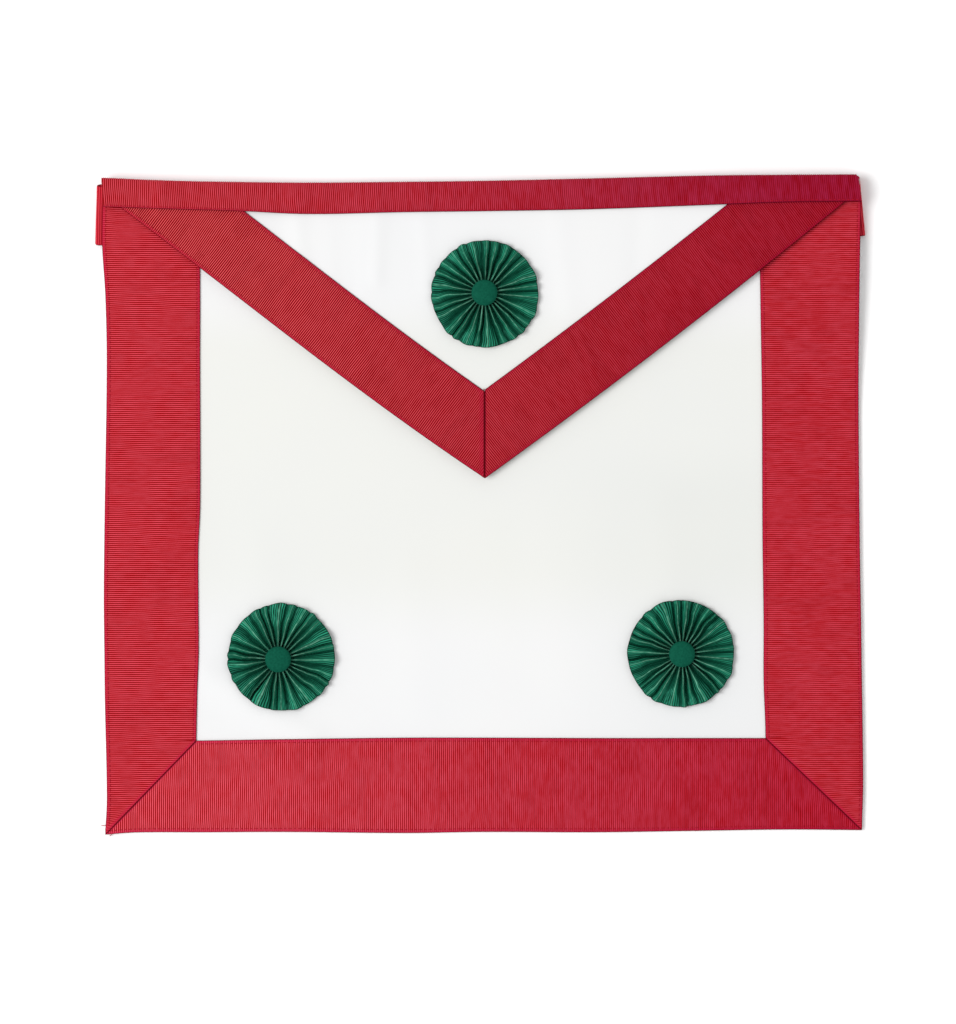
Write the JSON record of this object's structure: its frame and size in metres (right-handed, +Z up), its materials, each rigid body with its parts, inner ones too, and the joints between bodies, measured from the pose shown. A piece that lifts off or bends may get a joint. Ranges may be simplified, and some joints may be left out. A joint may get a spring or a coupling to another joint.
{
  "type": "masonic apron",
  "caption": "White ceremonial apron with a triangular flap, a red ribbon border, pleated green rosettes and a red waist belt folded away behind it.",
  "frame": {"origin": "on the surface that the apron lies on, under the middle of its bounding box", "axes": "+Z up out of the apron's front, +Y towards its top edge, +X to the viewer's right, along its width"},
  "size_m": [0.4138, 0.3546, 0.0149],
  "materials": {
    "white_leather": "smooth soft white leather, faintly satin",
    "red_ribbon": "grosgrain ribbon with fine cross ribs and a faint moire",
    "red_belt": "woven belt webbing",
    "green_ribbon": "pleated grosgrain ribbon with a soft sheen",
    "green_button": "cloth-covered, matte",
    "clasp_metal": "plain brushed metal"
  },
  "bodies": {
    "root": {"body_panel": "white_leather", "flap_panel": "white_leather", "border_left": "red_ribbon", "border_right": "red_ribbon", "border_bottom": "red_ribbon", "flap_border_left": "red_ribbon", "flap_border_right": "red_ribbon", "top_band": "red_ribbon", "belt_left": "red_belt", "belt_right": "red_belt", "belt_clasp": "clasp_metal", "rosette_flap_pleats": "green_ribbon", "rosette_left_pleats": "green_ribbon", "rosette_right_pleats": "green_ribbon", "rosette_flap_button": "green_button", "rosette_left_button": "green_button", "rosette_right_button": "green_button"}
  },
  "joints": []
}
